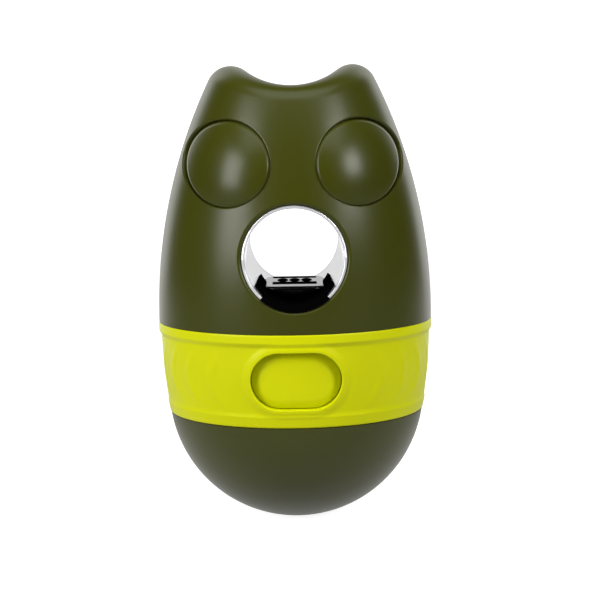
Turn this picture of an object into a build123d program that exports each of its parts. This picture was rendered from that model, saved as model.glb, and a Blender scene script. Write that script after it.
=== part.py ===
from build123d import *

import os
from math import asin, cos, radians, sin, sqrt

# Tumbling dog treat dispenser: an egg with a round weighted bowl, a lift-off head with two ears,
# two domed eyes and a lined hole from front to back, and a soft band with an oval release button.
# Millimetres, +Z up, origin at the middle of the small flat foot, front towards -Y.

# Outside of the egg
bowl_radius = 36.6
foot_drop = 0.4
shoulder_z = 30.8
seam_gap = 0.2
body_radius = 39.05
flank_start_z = 58.7
flank_radius = 150.0
saddle_low_z = 123.2
saddle_radius = 21.8
ear_round = 7.0

# Walls
head_wall = 2.0
head_step = 0.8
bowl_wall = 2.2
collar_wall = 1.8

# Soft band round the joint
band_top_z = 56.7
band_fit = 0.05
collar_top_step = 2.05
collar_foot_step = 4.05
top_rim_proud = 0.1
top_rim_height = 2.2
field_top_step = 0.6
field_mid_step = 1.1
field_foot_step = 2.3
foot_rim_step = 2.05
foot_rim_edge_step = 2.65
foot_rim_height = 2.9
rim_step = 0.5
rim_round = 0.3

# Ripples moulded in the band on both sides of the button
ripple_angles = [38.0, 51.5, 65.0, 78.5]
ripple_thin = 0.3
ripple_proud = 0.18
ripple_length = 16.6
ripple_bow = 5.0

# Hole from front to back and its liner
bore_z = 76.9
bore_radius = 13.4
liner_wall = 0.8
liner_fit = 0.1
liner_setback = 0.3
liner_lip = 0.3
hole_round = 0.8

# Outlet block in the floor of the hole
block_width = 17.0
block_front_y = -17.0
block_back_y = 13.2
block_top_z = 67.5
block_corner = 3.0
block_edge = 1.0
block_fit = 0.2
seat_width = 23.0
seat_length = 38.0
seat_thick = 1.2
window_width = 12.0
window_length = 5.0
window_pitch = 16.0
window_middle_y = 1.2
window_corner = 1.5
dimple_radius = 1.2
dimple_depth = 0.4
dimple_pitch = 3.4
dimple_count = 3

# Black tray on the hole's floor round the block
tray_thick = 0.7
tray_fit = 0.05
tray_half_width = 10.6
tray_waist = 8.6
tray_nose_y = -36.9
tray_front_y = -30.0
tray_back_y = 11.0
tray_tail_y = 3.0

# Sliding gate under the block
gate_thick = 1.6
gate_width = 17.8
gate_fit = 0.2
gate_travel = 7.5
gate_land = 1.5
tab_width = 8.0
tab_thick = 2.0
tab_drop = 7.0
grip_wall = 0.8
grip_height = 5.0
grip_rib_count = 3
grip_rib_radius = 0.5

# Treat funnel
funnel_flange_z = 39.4
funnel_flange_thick = 1.6
funnel_flange_gap = 0.35
funnel_mouth_radius = 22.8
funnel_wall = 1.6
chimney_width = 13.0
chimney_length = 23.5
chimney_corner = 3.0
chimney_flange_thick = 1.6

# Bosses and screws
boss_radius = 3.0
boss_inset = 4.8
boss_top_z = 55.0
boss_rib_width = 3.0
screw_radius = 1.25
screw_head_radius = 2.5
screw_length = 9.0
screw_fit = 0.1
small_screw_radius = 0.9
small_screw_head_radius = 1.7
small_screw_head_height = 1.0
small_screw_length = 3.2
driver_slot = 0.5

# Eyes
eye_radius = 11.5
eye_gap = 0.2
eye_z = 102.0
eye_offset_x = 17.9
eye_proud = 1.75
eye_across_radius = 24.0
eye_along_radius = 32.0
eye_edge = 0.6
eye_seat_depth = 1.3
eye_seat_edge = 0.5
eye_pad_depth = 3.2
eye_pad_rim = 1.6
stem_radius = 2.0
stem_length = 6.0
clip_radius = 4.2
clip_thick = 0.6

# Oval release button and its frame
button_z = 43.9
button_width = 24.7
button_height = 15.6
button_gap = 0.2
button_travel = 1.8
button_recess = 1.6
button_back_step = 1.6
button_round = 0.5
leg_length = 3.5
leg_inset = 1.0
leg_width = 2.5
leg_height = 6.0
ear_reach = 2.0
ear_thick = 1.0
peg_radius = 1.6
peg_rise = 0.8
frame_rim = 1.5
frame_proud = 0.45
frame_wall = 0.7
frame_edge = 0.3

# Bowl neck, seal and catch
neck_top_z = 39.0
neck_notch_z = 35.6
neck_notch_width = 30.0
neck_space = 2.2
neck_wall = 2.0
neck_flange_thick = 2.2
neck_ledge = 0.5
neck_fit = 0.1
seal_z = 32.4
seal_height = 1.8
seal_groove = 0.9
seal_gap = 0.2
seal_lip = 0.4
tongue_width = 12.0
tongue_thick = 0.8
tongue_foot_z = 29.2
tongue_top_z = 46.0
hook_reach = 1.3
hook_height = 1.2
hook_gap = 0.2
peg_gap = 0.2
catch_gap = 0.4
catch_bar = 2.4
catch_slot_width = 13.0
catch_slot_depth = 4.0
tongue_screw_z = 31.4
tongue_screw_pitch = 7.0

# Weight in the bottom
ballast_top_z = 19.0
ballast_fit = 0.2
cover_thick = 2.2
cover_dish = 1.0
post_radius = 3.2
post_ring_radius = 15.0
post_count = 3
post_fit = 0.3

# Derived places
collar_top_radius = body_radius - collar_top_step
collar_foot_radius = body_radius - collar_foot_step
top_rim_radius = body_radius + top_rim_proud
field_top_radius = body_radius - field_top_step
field_mid_radius = body_radius - field_mid_step
field_foot_radius = body_radius - field_foot_step
foot_rim_radius = body_radius - foot_rim_step
foot_rim_edge_radius = body_radius - foot_rim_edge_step
boss_ring_radius = collar_foot_radius - boss_inset
button_back_y = button_back_step - collar_foot_radius
leg_foot_y = button_back_y + leg_length
neck_radius = collar_foot_radius - collar_wall - neck_space
tongue_face_y = neck_wall + tongue_thick - neck_radius
ball_z = bowl_radius - foot_drop
collar_foot_z = shoulder_z + seam_gap
liner_outer_radius = bore_radius + liner_wall
shell_hole_radius = liner_outer_radius + liner_fit
seat_top_z = bore_z - liner_outer_radius - block_fit
seat_foot_z = seat_top_z - seat_thick
gate_top_z = seat_foot_z - gate_fit
gate_foot_z = gate_top_z - gate_thick
chimney_top_z = gate_foot_z - gate_fit
saddle_z = saddle_low_z + saddle_radius
block_length = block_back_y - block_front_y
block_middle_y = (block_back_y + block_front_y) / 2
flank_centre_r = body_radius - flank_radius
field_foot_z = collar_foot_z + foot_rim_height + rim_step
field_top_z = band_top_z - top_rim_height - rim_step
field_mid_z = (field_foot_z + field_top_z) / 2
flange_top_z = funnel_flange_z + funnel_flange_thick
cone_top_z = chimney_top_z - chimney_flange_thick
leg_x = button_width / 2 - button_gap - leg_inset - leg_width / 2
beyond = 60.0
cut_overrun = 5.0


def flank(z, inset=0.0):
    """Radius of the head's flank at height z, or of the surface a wall's thickness inside it."""
    return flank_centre_r + sqrt((flank_radius - inset) ** 2 - (z - flank_start_z) ** 2)


def ball(z, inset=0.0):
    """Radius of the bowl at height z, or of the surface a wall's thickness inside it."""
    return sqrt(round((bowl_radius - inset) ** 2 - (ball_z - z) ** 2, 6))


def ball_arc(low_z, high_z, inset=0.0):
    """Arc of the bowl's section between two heights, drawn in the current line."""
    middle_z = (3 * low_z + high_z) / 4
    return ThreePointArc(
        (ball(low_z, inset), low_z),
        (ball(middle_z, inset), middle_z),
        (ball(high_z, inset), high_z),
    )


def collar(z, inset=0.0):
    """Radius of the tapered collar under the band at height z."""
    share = (z - collar_foot_z) / (band_top_z - collar_foot_z)
    return collar_foot_radius + share * (collar_top_radius - collar_foot_radius) - inset


def front_plane(y, z):
    """Upright plane at depth y and height z that looks out of the front of the egg."""
    return Plane((0, y, z), x_dir=(1, 0, 0), z_dir=(0, -1, 0))


def turned_body(outline):
    """Solid of revolution about Z from (radius, height) corners, closed along the axis."""
    with BuildPart() as body:
        with BuildSketch(Plane.XZ):
            with BuildLine():
                Polyline(*outline, close=True)
            make_face()
        revolve(axis=Axis.Z)
    return body.part


def collar_body(rise):
    """Solid cone of the collar's outer surface, grown outwards by rise."""
    low, high = collar_foot_z - cut_overrun, band_top_z + cut_overrun
    return turned_body([(0, low), (collar(low) + rise, low), (collar(high) + rise, high), (0, high)])


def field_body(rise):
    """Solid barrel of the band's bowed field between its rims, grown outwards by rise."""
    with BuildPart() as body:
        with BuildSketch(Plane.XZ):
            with BuildLine():
                ThreePointArc(
                    (field_foot_radius + rise, field_foot_z),
                    (field_mid_radius + rise, field_mid_z),
                    (field_top_radius + rise, field_top_z),
                )
                Polyline(
                    (field_top_radius + rise, field_top_z),
                    (0, field_top_z),
                    (0, field_foot_z),
                    (field_foot_radius + rise, field_foot_z),
                )
            make_face()
        revolve(axis=Axis.Z)
    return body.part


bore_plane = front_plane(0, bore_z)

# Head outline as a closed egg, with the saddle between the ears
with BuildPart() as head_outline:
    with BuildSketch(Plane.XZ):
        with BuildLine():
            Polyline(
                (0, band_top_z),
                (body_radius, band_top_z),
                (body_radius, flank_start_z),
            )
            RadiusArc(
                (body_radius, flank_start_z),
                (flank(saddle_z), saddle_z),
                -flank_radius,
            )
            Polyline((flank(saddle_z), saddle_z), (0, saddle_z), (0, band_top_z))
        make_face()
    revolve(axis=Axis.Z)
    with BuildSketch(Plane.XZ):
        with Locations((0, saddle_z)):
            Circle(saddle_radius)
    extrude(amount=beyond, both=True, mode=Mode.SUBTRACT)
    ear_edges = head_outline.edges().filter_by(lambda e: e.center().Z > saddle_low_z - 1)
    fillet(ear_edges, ear_round)

# Hollow of the head above the collar
with BuildPart() as head_hollow:
    hollow_foot_z = band_top_z + head_step
    hollow_step_z = hollow_foot_z + body_radius - collar_top_radius
    with BuildSketch(Plane.XZ):
        with BuildLine():
            Polyline(
                (0, collar_foot_z - cut_overrun),
                (collar(collar_foot_z - cut_overrun, collar_wall), collar_foot_z - cut_overrun),
                (collar(hollow_foot_z, collar_wall), hollow_foot_z),
                (flank(hollow_step_z, head_wall), hollow_step_z),
            )
            RadiusArc(
                (flank(hollow_step_z, head_wall), hollow_step_z),
                (flank(saddle_z, head_wall), saddle_z),
                head_wall - flank_radius,
            )
            Polyline(
                (flank(saddle_z, head_wall), saddle_z),
                (0, saddle_z),
                (0, collar_foot_z - cut_overrun),
            )
        make_face()
    revolve(axis=Axis.Z)
    with BuildSketch(Plane.XZ):
        with Locations((0, saddle_z)):
            Circle(saddle_radius + head_wall)
    extrude(amount=beyond, both=True, mode=Mode.SUBTRACT)
    hollow_edges = head_hollow.edges().filter_by(lambda e: e.center().Z > saddle_low_z - head_wall - 1)
    fillet(hollow_edges, ear_round - head_wall)


def eye_plane(rise=0.0):
    """Plane that touches the egg at the right eye's middle, facing outwards, lifted along its axis."""
    turn = asin(eye_offset_x / flank(eye_z))
    tilt = asin((eye_z - flank_start_z) / flank_radius)
    out = Vector(sin(turn) * cos(tilt), -cos(turn) * cos(tilt), sin(tilt))
    spot = Vector(eye_offset_x, -flank(eye_z) * cos(turn), eye_z)
    return Plane(spot + out * rise, x_dir=(cos(turn), sin(turn), 0), z_dir=out)


def eye_plate(radius, low, high):
    """Plate at the right eye between two heights over the egg, round when seen from the front."""
    low_z = eye_z - 2 * eye_radius
    with BuildPart() as patch:
        with BuildSketch(front_plane(0, eye_z)):
            with Locations((eye_offset_x, 0)):
                Circle(radius)
        extrude(amount=beyond)
        with BuildSketch(Plane.XZ):
            with BuildLine():
                ThreePointArc(
                    (flank(low_z, -low), low_z),
                    (flank(eye_z, -low), eye_z),
                    (flank(saddle_low_z, -low), saddle_low_z),
                )
                Polyline(
                    (flank(saddle_low_z, -low), saddle_low_z),
                    (0, saddle_low_z),
                    (0, low_z),
                    (flank(low_z, -low), low_z),
                )
            make_face()
        revolve(axis=Axis.Z, mode=Mode.INTERSECT)
    with BuildPart() as plate:
        thicken(patch.faces().sort_by(Axis.Y)[0], amount=high - low)
    return plate.part


def with_mirror(piece):
    """A piece on the right side together with its mirror image on the left."""
    return [piece, piece.mirror(Plane.YZ)]


# One-piece head shell: ears, hole, eye seats, collar under the band and screw bosses
boss_angles = [45, 135, 225, 315]
collar_blank = turned_body(
    [
        (0, collar_foot_z),
        (collar_foot_radius, collar_foot_z),
        (collar_top_radius, band_top_z),
        (0, band_top_z),
    ]
)
with BuildPart() as stem_bore:
    with BuildSketch(eye_plane()):
        Circle(stem_radius + screw_fit)
    extrude(amount=-eye_radius)
    with BuildSketch(eye_plane(-eye_pad_depth)):
        Circle(clip_radius + screw_fit)
    extrude(amount=-head_wall)
with BuildPart() as head_shell:
    add(head_outline.part)
    with BuildSketch(bore_plane):
        Circle(shell_hole_radius)
    extrude(amount=beyond, both=True, mode=Mode.SUBTRACT)
    mid_edges = head_shell.edges().filter_by(lambda e: abs(e.center().Z - bore_z) < bore_radius / 4)
    rim_edges = mid_edges.sort_by(Axis.Y)
    fillet([rim_edges[0], rim_edges[-1]], hole_round)
    add(collar_blank)
    add(head_hollow.part, mode=Mode.SUBTRACT)
    add(with_mirror(eye_plate(eye_radius + eye_pad_rim, -eye_pad_depth, -head_wall / 2)))
    add(with_mirror(stem_bore.part), mode=Mode.SUBTRACT)
    add(with_mirror(eye_plate(eye_radius + eye_gap, -eye_seat_depth, eye_proud)), mode=Mode.SUBTRACT)
    seat_edges = head_shell.faces(Select.LAST).filter_by(GeomType.BSPLINE).edges()
    fillet(seat_edges.sort_by(Axis.Y)[:2], eye_seat_edge)
    for angle in boss_angles:
        with BuildSketch(Plane.XY.offset(flange_top_z).rotated((0, 0, angle))):
            with Locations((boss_ring_radius, 0)):
                Circle(boss_radius)
            with Locations((boss_ring_radius + boss_radius, 0)):
                Rectangle(boss_radius, boss_rib_width)
        extrude(amount=boss_top_z - flange_top_z)
        with BuildSketch(Plane.XY.offset(flange_top_z).rotated((0, 0, angle))):
            with Locations((boss_ring_radius, 0)):
                Circle(screw_radius + screw_fit)
        extrude(amount=screw_length, mode=Mode.SUBTRACT)
    with BuildSketch(front_plane(0, button_z)):
        SlotOverall(
            button_width + 2 * (frame_wall + button_gap),
            button_height + 2 * (frame_wall + button_gap),
        )
    extrude(amount=beyond, mode=Mode.SUBTRACT)
head_shell.part.label = "head_shell"

# Domed right eye, a plate along the egg with a barrel-shaped face and a stem through the shell
eye_reach = eye_radius + eye_pad_rim + eye_seat_depth
axis_drop = eye_proud - eye_across_radius
edge_drop = eye_proud - eye_along_radius + sqrt(eye_along_radius**2 - eye_reach**2)
face_plane = eye_plane()
up = face_plane.y_dir
barrel_axis = Axis(face_plane.origin + face_plane.z_dir * axis_drop, up)
with BuildPart() as eye:
    add(eye_plate(eye_radius, screw_fit - eye_seat_depth, 2 * eye_proud))
    with BuildSketch(Plane(face_plane.origin, x_dir=up, z_dir=face_plane.x_dir)):
        with BuildLine():
            ThreePointArc((-eye_reach, edge_drop), (0, eye_proud), (eye_reach, edge_drop))
            Polyline(
                (eye_reach, edge_drop),
                (eye_reach, axis_drop),
                (-eye_reach, axis_drop),
                (-eye_reach, edge_drop),
            )
        make_face()
    revolve(axis=barrel_axis, mode=Mode.INTERSECT)
    wall_edges = eye.faces().filter_by(GeomType.BSPLINE).edges().sort_by(SortBy.LENGTH)
    fillet(wall_edges[:-1], eye_edge)
    with BuildSketch(eye_plane(-eye_seat_depth / 2)):
        Circle(stem_radius)
    extrude(amount=-stem_length)

# Round spring clip on the stem behind the shell
with BuildPart() as clip:
    with BuildSketch(eye_plane(-eye_pad_depth - screw_fit)):
        Circle(clip_radius)
        Circle(stem_radius + screw_fit / 2, mode=Mode.SUBTRACT)
    extrude(amount=-clip_thick)

# Bright liner of the hole, its ends following the egg
liner_egg = turned_body(
    [
        (0, flank_start_z),
        (body_radius - liner_setback, flank_start_z),
        (flank(bore_z) - liner_setback, bore_z),
        (flank(eye_z) - liner_setback, eye_z),
        (0, eye_z),
    ]
)
with BuildPart() as bore_liner:
    with BuildSketch(bore_plane):
        Circle(liner_outer_radius)
    extrude(amount=beyond, both=True)
    add(liner_egg, mode=Mode.INTERSECT)
    with BuildSketch(bore_plane):
        Circle(bore_radius)
    extrude(amount=beyond, both=True, mode=Mode.SUBTRACT)
    lip_edges = bore_liner.edges().filter_by(lambda e: abs(e.center().Y) > body_radius / 2)
    fillet(lip_edges, liner_lip)
    with BuildSketch(Plane.XY.offset(seat_foot_z)):
        with Locations((0, block_middle_y)):
            Rectangle(block_width + 2 * block_fit, block_length + 2 * block_fit)
    extrude(amount=block_top_z - seat_foot_z, mode=Mode.SUBTRACT)
bore_liner.part.label = "bore_liner"

# Outlet block: a rounded black island in the hole's floor with two windows, and rails for the gate below
window_spots = [
    (0, window_middle_y - window_pitch / 2),
    (0, window_middle_y + window_pitch / 2),
]
with BuildPart() as outlet_block:
    with BuildSketch(Plane.XY.offset(seat_foot_z)):
        Rectangle(seat_width, seat_length)
    extrude(amount=seat_thick)
    with BuildSketch(Plane.XY.offset(seat_foot_z)):
        with Locations((0, block_middle_y)):
            RectangleRounded(block_width, block_length, block_corner)
    extrude(amount=block_top_z - seat_foot_z)
    top_edges = outlet_block.faces().sort_by(Axis.Z)[-1].edges()
    fillet(top_edges, block_edge)
    with BuildSketch(Plane.XY.offset(chimney_top_z)):
        Rectangle(seat_width, seat_length)
        Rectangle(gate_width + 2 * gate_fit, seat_length, mode=Mode.SUBTRACT)
    extrude(amount=seat_foot_z - chimney_top_z)
    with BuildSketch(Plane.XY.offset(seat_foot_z)):
        with Locations(*window_spots):
            RectangleRounded(window_width, window_length, window_corner)
    extrude(amount=block_top_z, mode=Mode.SUBTRACT)
    with BuildSketch(Plane.XY.offset(block_top_z)):
        with Locations((0, window_middle_y)):
            with GridLocations(dimple_pitch, 0, dimple_count, 1):
                Circle(dimple_radius)
    extrude(amount=-dimple_depth, mode=Mode.SUBTRACT)
    rail_x = (seat_width + gate_width + 2 * gate_fit) / 4
    with BuildSketch(Plane.XY.offset(chimney_top_z)):
        with GridLocations(2 * rail_x, seat_length - 2 * small_screw_head_radius, 2, 2):
            Circle(small_screw_radius)
    extrude(amount=small_screw_length - chimney_flange_thick, mode=Mode.SUBTRACT)
outlet_block.part.label = "outlet_block"

# Gate: a plate with two windows that slides along Y under the block, with a finger tab below
with BuildPart() as outlet_gate:
    window_reach = (window_pitch + window_length) / 2
    gate_front_y = window_middle_y - window_reach - gate_travel - gate_land
    gate_back_y = window_middle_y + window_reach + gate_land
    with BuildSketch(Plane.XY.offset(gate_foot_z)):
        with Locations((0, (gate_front_y + gate_back_y) / 2)):
            RectangleRounded(gate_width, gate_back_y - gate_front_y, window_corner)
        with Locations(*window_spots):
            RectangleRounded(window_width, window_length, window_corner, mode=Mode.SUBTRACT)
    extrude(amount=gate_thick)
    with BuildSketch(Plane.XY.offset(gate_foot_z)):
        Rectangle(tab_width, tab_thick)
    extrude(amount=-tab_drop)
outlet_gate.part.label = "outlet_gate"

# Soft grip pushed over the tab, with ribs for a fingertip
with BuildPart() as gate_grip:
    grip_foot_z = gate_foot_z - tab_drop - grip_wall
    with BuildSketch(Plane.XY.offset(grip_foot_z)):
        RectangleRounded(tab_width + 2 * grip_wall, tab_thick + 2 * grip_wall, grip_wall)
    extrude(amount=grip_height)
    with BuildSketch(Plane.XY.offset(gate_foot_z - tab_drop)):
        Rectangle(tab_width, tab_thick)
    extrude(amount=grip_height, mode=Mode.SUBTRACT)
    for row in range(grip_rib_count):
        rib_z = grip_foot_z + grip_height * (row + 1) / (grip_rib_count + 1)
        for rib_y in (-tab_thick / 2 - grip_wall, tab_thick / 2 + grip_wall):
            with BuildSketch(Plane.YZ.offset(-tab_width / 2)):
                with Locations((rib_y, rib_z)):
                    Circle(grip_rib_radius)
            extrude(amount=tab_width)
    with BuildSketch(Plane.XY.offset(gate_foot_z - tab_drop)):
        Rectangle(tab_width, tab_thick)
    extrude(amount=grip_height, mode=Mode.SUBTRACT)
gate_grip.part.label = "gate_grip"

# Black tray clipped on the hole's floor round the block, wider beside the windows
with BuildPart() as floor_tray:
    with BuildSketch(bore_plane):
        Circle(bore_radius - tray_fit)
        Circle(bore_radius - tray_fit - tray_thick, mode=Mode.SUBTRACT)
    extrude(amount=beyond, both=True)
    with BuildSketch(Plane.XY.offset(seat_foot_z)):
        Polygon(
            (-tray_waist, tray_nose_y),
            (tray_waist, tray_nose_y),
            (tray_half_width, tray_front_y),
            (tray_half_width, tray_back_y),
            (tray_waist, tray_tail_y),
            (tray_waist, block_back_y + block_corner),
            (-tray_waist, block_back_y + block_corner),
            (-tray_waist, tray_tail_y),
            (-tray_half_width, tray_back_y),
            (-tray_half_width, tray_front_y),
            align=None,
        )
    extrude(amount=bore_z - seat_foot_z, mode=Mode.INTERSECT)
    with BuildSketch(Plane.XY.offset(seat_foot_z)):
        with Locations((0, block_middle_y)):
            Rectangle(block_width + 2 * block_fit, block_length + 2 * block_fit)
    extrude(amount=block_top_z - seat_foot_z, mode=Mode.SUBTRACT)
floor_tray.part.label = "floor_tray"

# Treat funnel: flange, cone that turns from round to oblong, and chimney up to the gate
with BuildPart() as treat_funnel:
    flange_radius = collar(funnel_flange_z, collar_wall) - funnel_flange_gap
    outer_mouth = funnel_mouth_radius + funnel_wall
    with BuildSketch(Plane.XY.offset(funnel_flange_z)):
        Circle(flange_radius)
    extrude(amount=funnel_flange_thick)
    with BuildSketch(Plane.XY.offset(flange_top_z)):
        RectangleRounded(2 * outer_mouth, 2 * outer_mouth, outer_mouth - screw_fit)
    with BuildSketch(Plane.XY.offset(cone_top_z)):
        RectangleRounded(
            chimney_width + 2 * funnel_wall,
            chimney_length + 2 * funnel_wall,
            chimney_corner + funnel_wall,
        )
    loft()
    with BuildSketch(Plane.XY.offset(cone_top_z)):
        Rectangle(seat_width, seat_length)
    extrude(amount=chimney_flange_thick)
    with BuildSketch(Plane.XY.offset(funnel_flange_z)):
        RectangleRounded(2 * funnel_mouth_radius, 2 * funnel_mouth_radius, funnel_mouth_radius - screw_fit)
    with BuildSketch(Plane.XY.offset(cone_top_z)):
        RectangleRounded(chimney_width, chimney_length, chimney_corner)
    loft(mode=Mode.SUBTRACT)
    with BuildSketch(Plane.XY.offset(cone_top_z)):
        RectangleRounded(chimney_width, chimney_length, chimney_corner)
    extrude(amount=chimney_flange_thick, mode=Mode.SUBTRACT)
    bar_back_y = tongue_face_y - catch_gap
    bar_front_y = bar_back_y - catch_bar
    leg_notch_x = leg_x + ear_reach / 2
    leg_notch_width = leg_width + ear_reach + 2 * catch_gap
    leg_notch_back_y = leg_foot_y + button_travel + catch_gap
    with BuildSketch(Plane.XY.offset(funnel_flange_z)):
        with Locations((0, bar_back_y + catch_slot_depth / 2)):
            Rectangle(catch_slot_width, catch_slot_depth)
        with Locations((0, bar_front_y - cut_overrun)):
            Rectangle(2 * leg_notch_x + leg_notch_width, 2 * cut_overrun)
        with Locations((-leg_notch_x, leg_notch_back_y), (leg_notch_x, leg_notch_back_y)):
            Rectangle(leg_notch_width, 2 * cut_overrun, align=(Align.CENTER, Align.MAX))
    extrude(amount=funnel_flange_thick, mode=Mode.SUBTRACT)
    with Locations(Plane.XY.offset(funnel_flange_z).rotated((180, 0, 0))):
        with PolarLocations(boss_ring_radius, len(boss_angles), boss_angles[0]):
            CounterSinkHole(screw_radius + screw_fit, screw_head_radius, funnel_flange_thick)
    with Locations(Plane.XY.offset(cone_top_z).rotated((180, 0, 0))):
        with GridLocations(2 * rail_x, seat_length - 2 * small_screw_head_radius, 2, 2):
            Hole(small_screw_radius + screw_fit / 2, chimney_flange_thick)
treat_funnel.part.label = "treat_funnel"

# Soft band: bowed field between two rims, ripples on both sides of the button
band_foot_z = collar_foot_z
band_head_z = band_top_z - band_fit
ripple_barrel = field_body(ripple_proud)
collar_skin = collar_body(band_fit)
with BuildPart() as ripples:
    for angle in ripple_angles:
        turn = radians(angle)
        outward = Vector(sin(turn), -cos(turn), 0)
        spot = outward * collar_foot_radius + Vector(0, 0, button_z)
        ripple_plane = Plane(spot, x_dir=(cos(turn), sin(turn), 0), z_dir=outward)
        half = ripple_length / 2
        with BuildSketch(ripple_plane):
            with BuildLine():
                ThreePointArc((-ripple_bow, -half), (0, 0), (-ripple_bow, half))
                ThreePointArc(
                    (-ripple_bow, half),
                    (-ripple_bow * ripple_thin, 0),
                    (-ripple_bow, -half),
                )
            make_face()
        extrude(amount=2 * cut_overrun)
    add(ripple_barrel, mode=Mode.INTERSECT)
    mirror(about=Plane.YZ)
    mirror(about=Plane.XZ)
with BuildPart() as grip_band:
    with BuildSketch(Plane.XZ) as band_section:
        with BuildLine():
            Polyline(
                (collar(band_foot_z) + band_fit, band_foot_z),
                (foot_rim_edge_radius, band_foot_z),
                (foot_rim_radius, band_foot_z + foot_rim_height - rim_step),
                (foot_rim_radius, band_foot_z + foot_rim_height),
                (field_foot_radius, field_foot_z),
            )
            ThreePointArc(
                (field_foot_radius, field_foot_z),
                (field_mid_radius, field_mid_z),
                (field_top_radius, field_top_z),
            )
            Polyline(
                (field_top_radius, field_top_z),
                (top_rim_radius, band_top_z - top_rim_height),
                (top_rim_radius, band_head_z),
                (collar(band_head_z) + band_fit, band_head_z),
                (collar(band_foot_z) + band_fit, band_foot_z),
            )
        make_face()
        rim_corners = band_section.vertices().filter_by(lambda v: v.X > foot_rim_edge_radius - rim_round)
        fillet(rim_corners, rim_round)
    revolve(axis=Axis.Z)
    add(ripples.part)
    add(collar_skin, mode=Mode.SUBTRACT)
    with BuildSketch(front_plane(0, button_z)):
        SlotOverall(button_width + 2 * (frame_rim + band_fit), button_height + 2 * (frame_rim + band_fit))
    extrude(amount=beyond, mode=Mode.SUBTRACT)
grip_band.part.label = "grip_band"

# Raised oval frame of the button, with a spigot through the collar
spigot_skin = collar_body(2 * band_fit)
collar_bore = collar_body(-collar_wall)
frame_barrel = field_body(frame_proud)
with BuildPart() as frame_spigot:
    with BuildSketch(front_plane(0, button_z)):
        SlotOverall(button_width + 2 * frame_wall, button_height + 2 * frame_wall)
    extrude(amount=beyond)
    add(spigot_skin, mode=Mode.INTERSECT)
    add(collar_bore, mode=Mode.SUBTRACT)
with BuildPart() as button_frame:
    with BuildSketch(front_plane(0, button_z)):
        SlotOverall(button_width + 2 * frame_rim, button_height + 2 * frame_rim)
    extrude(amount=beyond)
    add(frame_barrel, mode=Mode.INTERSECT)
    fillet(button_frame.faces().sort_by(Axis.Y)[0].edges(), frame_edge)
    add(collar_skin, mode=Mode.SUBTRACT)
    add(frame_spigot.part)
    with BuildSketch(front_plane(0, button_z)):
        SlotOverall(button_width, button_height)
    extrude(amount=beyond, mode=Mode.SUBTRACT)
button_frame.part.label = "button_frame"

# Oval button: a bowed face, two legs whose ears catch behind the collar, and a peg for the catch tongue
button_barrel = field_body(-button_recess)
with BuildPart() as release_button:
    with BuildSketch(front_plane(0, button_z)):
        SlotOverall(button_width - 2 * button_gap, button_height - 2 * button_gap)
    extrude(amount=beyond)
    add(button_barrel, mode=Mode.INTERSECT)
    with BuildSketch(Plane.XY.offset(field_foot_z)):
        with Locations((0, button_back_y)):
            Rectangle(2 * button_width, beyond, align=(Align.CENTER, Align.MIN))
    extrude(amount=field_top_z - field_foot_z, mode=Mode.SUBTRACT)
    fillet(release_button.faces().sort_by(Axis.Y)[0].edges(), button_round)
    for side in (-1, 1):
        with BuildSketch(front_plane(leg_foot_y, button_z)):
            with Locations((side * leg_x, 0)):
                Rectangle(leg_width, leg_height)
        extrude(amount=leg_foot_y - button_back_y + button_round)
        with BuildSketch(front_plane(leg_foot_y, button_z)):
            with Locations((side * (leg_x + ear_reach / 2), 0)):
                Rectangle(leg_width + ear_reach, leg_height)
        extrude(amount=ear_thick)
    with BuildSketch(front_plane(tongue_face_y - peg_gap, button_z + peg_rise)):
        Circle(peg_radius)
    extrude(amount=tongue_face_y - peg_gap - button_back_y + button_round)
release_button.part.label = "release_button"

# Three posts that stand on the inside of the bowl
inside_foot_z = ball_z - bowl_radius + bowl_wall
mid_wall = bowl_wall / 2
with BuildPart() as bowl_posts:
    with BuildSketch(Plane.XY):
        with PolarLocations(post_ring_radius, post_count, 90):
            Circle(post_radius)
    extrude(amount=ballast_top_z)
    with BuildSketch(Plane.XZ):
        with BuildLine():
            ball_arc(inside_foot_z - mid_wall, shoulder_z, mid_wall)
            Polyline(
                (ball(shoulder_z, mid_wall), shoulder_z),
                (0, shoulder_z),
                (0, inside_foot_z - mid_wall),
            )
        make_face()
    revolve(axis=Axis.Z, mode=Mode.INTERSECT)

# Round bowl, open at the top, with a ledge for the neck ring and posts for the weight
ballast_foot_z = inside_foot_z + ballast_fit
neck_flange_z = shoulder_z - neck_flange_thick
with BuildPart() as bowl_shell:
    foot_radius = ball(0)
    with BuildSketch(Plane.XZ):
        with BuildLine():
            Polyline((0, 0), (foot_radius, 0))
            ball_arc(0, shoulder_z)
            Polyline((ball(shoulder_z), shoulder_z), (0, shoulder_z), (0, 0))
        make_face()
    revolve(axis=Axis.Z)
    with BuildSketch(Plane.XZ):
        with BuildLine():
            ball_arc(inside_foot_z, neck_flange_z, bowl_wall)
            Polyline(
                (ball(neck_flange_z, bowl_wall), neck_flange_z),
                (0, neck_flange_z),
                (0, inside_foot_z),
            )
        make_face()
    revolve(axis=Axis.Z, mode=Mode.SUBTRACT)
    with BuildSketch(Plane.XY.offset(neck_flange_z)):
        Circle(ball(neck_flange_z, bowl_wall) + neck_ledge)
    extrude(amount=beyond, mode=Mode.SUBTRACT)
    add(bowl_posts.part)
    with BuildSketch(Plane.XY.offset(ballast_top_z)):
        with PolarLocations(post_ring_radius, post_count, 90):
            Circle(screw_radius + screw_fit)
    extrude(amount=-screw_length, mode=Mode.SUBTRACT)
bowl_shell.part.label = "bowl_shell"

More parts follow.
